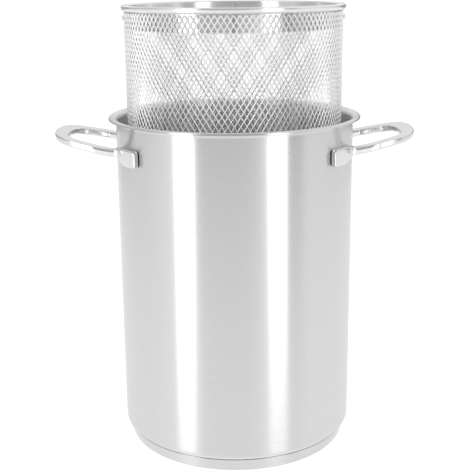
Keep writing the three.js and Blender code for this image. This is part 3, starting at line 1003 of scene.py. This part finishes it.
def studio_floor(name, glow):
    """White paper that gives most of its own light and still takes a faint shadow."""
    material, tree = empty_material(name)
    paper = add_node(tree, "ShaderNodeBsdfDiffuse", {"Color": linear_colour(PAPER_COLOUR)})
    light = add_node(tree, "ShaderNodeEmission", {"Strength": glow})
    both = add_node(tree, "ShaderNodeAddShader", {0: paper.outputs[0], 1: light.outputs[0]})
    return surfaced(material, both)


def white_world(strength):
    """White to the eye and in reflections, and a plain level for what it lights."""
    world = bpy.data.worlds.new("white studio")
    bpy.context.scene.world = world
    world.use_nodes = True
    tree = world.node_tree
    tree.nodes.clear()
    path = add_node(tree, "ShaderNodeLightPath")
    seen = path.outputs["Is Camera Ray"]
    for kind in ("Is Glossy Ray", "Is Transmission Ray"):
        either = {0: seen, 1: path.outputs[kind]}
        seen = add_node(tree, "ShaderNodeMath", either, operation="MAXIMUM").outputs[0]
    level = add_node(tree, "ShaderNodeMapRange", {"Value": seen, "To Min": strength, "To Max": 1.0})
    white = {"Color": (1, 1, 1, 1), "Strength": level.outputs["Result"]}
    background = add_node(tree, "ShaderNodeBackground", white)
    add_node(tree, "ShaderNodeOutputWorld", {"Surface": background.outputs[0]})


def strip_light(stage, name, azimuth, width, power):
    """A tall softbox that stands on the floor at an azimuth from the viewer's side, turned to the pot."""
    distance = stage.strip_distance
    height = stage.strip_height
    lamp = bpy.data.lights.new(name, "AREA")
    lamp.shape = "RECTANGLE"
    lamp.size = width
    lamp.size_y = height
    lamp.energy = power
    holder = bpy.data.objects.new(name, lamp)
    bpy.context.scene.collection.objects.link(holder)
    holder.location = (distance * math.sin(azimuth), -distance * math.cos(azimuth), height / 2)
    holder.rotation_euler = (QUARTER, 0, azimuth)


def room_screen(name, profile, material, width=FULL_TURN):
    """A round part of the room that only reflections see, with its middle at the viewer's side."""
    screen = turned(name, profile, ROOM_STEPS, width)
    screen.data.materials.append(material)
    screen.visible_camera = False
    screen.visible_diffuse = False
    screen.visible_shadow = False


def photo_camera():
    """The camera that was fitted to the photograph's edges."""
    camera = bpy.data.cameras.new("photo_camera")
    camera.lens = CAMERA_LENS
    camera.shift_x = CAMERA_SHIFT
    holder = bpy.data.objects.new("photo_camera", camera)
    bpy.context.scene.collection.objects.link(holder)
    place = Matrix.Translation(CAMERA_PLACE)
    tilt = Matrix.Rotation(CAMERA_TILT, 4, "X")
    roll = Matrix.Rotation(CAMERA_ROLL, 4, "Z")
    holder.matrix_world = place @ tilt @ roll
    bpy.context.scene.camera = holder


class COOKINGPOT_OT_stage(bpy.types.Operator):
    """Set up the white studio, its lights and the camera"""

    bl_idname = "cooking_pot.stage"
    bl_label = "Studio"

    def execute(self, context):
        stage = settings("stage")
        white_world(WORLD_LEVEL)
        deselect_everything()
        bpy.ops.mesh.primitive_plane_add(size=FLOOR_SIZE, location=FLOOR_PLACE)
        floor = named("studio_floor")
        floor.data.materials.append(studio_floor("white paper", stage.floor_glow))
        strip_light(stage, "strip_left", stage.left_azimuth, stage.left_width, stage.left_power)
        strip_light(stage, "strip_right", stage.right_azimuth, stage.right_width, stage.right_power)
        corner = (ROOM_RADIUS, ROOM_HEIGHT)
        wall = glowing("studio wall", BRIGHTEST_WALL, wall_light)
        room_screen("room_wall", [(ROOM_RADIUS, 0), corner], wall)
        ceiling = glowing("dim ceiling", BRIGHTEST_WALL, ceiling_light)
        room_screen("room_ceiling", [corner, (0, ROOM_HEIGHT)], ceiling)
        room_screen("front_card", CARD_PROFILE, glowing("front card", stage.front_card), CARD_WIDTH)
        photo_camera()
        context.scene.view_settings.view_transform = "Standard"
        return {"FINISHED"}


# Panel and registration

GROUPS = {
    "pot": PotSizes,
    "base": BaseSizes,
    "handles": HandleSizes,
    "basket": BasketSizes,
    "mesh": MeshSizes,
    "bail": BailSizes,
    "colours": FinishColours,
    "stage": StageSettings,
}

OPERATORS = (
    COOKINGPOT_OT_body,
    COOKINGPOT_OT_base,
    COOKINGPOT_OT_handles,
    COOKINGPOT_OT_rim_band,
    COOKINGPOT_OT_mesh_wall,
    COOKINGPOT_OT_bottom_band,
    COOKINGPOT_OT_mesh_floor,
    COOKINGPOT_OT_bail,
    COOKINGPOT_OT_stage,
)


class COOKINGPOT_PT_panel(bpy.types.Panel):
    """Lists the pieces of the pot and the studio"""

    bl_idname = "COOKINGPOT_PT_panel"
    bl_label = "Cooking Pot"
    bl_space_type = "VIEW_3D"
    bl_region_type = "UI"
    bl_category = "Cooking Pot"

    def draw(self, context):
        for operator in OPERATORS:
            self.layout.operator(operator.bl_idname)


def register():
    for group in GROUPS.values():
        bpy.utils.register_class(group)
    for name, group in GROUPS.items():
        setattr(bpy.types.Scene, "cooking_pot_" + name, PointerProperty(type=group))
    for operator in OPERATORS:
        bpy.utils.register_class(operator)
    bpy.utils.register_class(COOKINGPOT_PT_panel)


def unregister():
    bpy.utils.unregister_class(COOKINGPOT_PT_panel)
    for operator in reversed(OPERATORS):
        bpy.utils.unregister_class(operator)
    for name in GROUPS:
        delattr(bpy.types.Scene, "cooking_pot_" + name)
    for group in reversed(list(GROUPS.values())):
        bpy.utils.unregister_class(group)


def main():
    register()
    bpy.ops.cooking_pot.body()
    bpy.ops.cooking_pot.base()
    bpy.ops.cooking_pot.handles()
    bpy.ops.cooking_pot.rim_band()
    bpy.ops.cooking_pot.mesh_wall()
    bpy.ops.cooking_pot.bottom_band()
    bpy.ops.cooking_pot.mesh_floor()
    bpy.ops.cooking_pot.bail()
    bpy.ops.cooking_pot.stage()


if __name__ == "__main__":
    main()
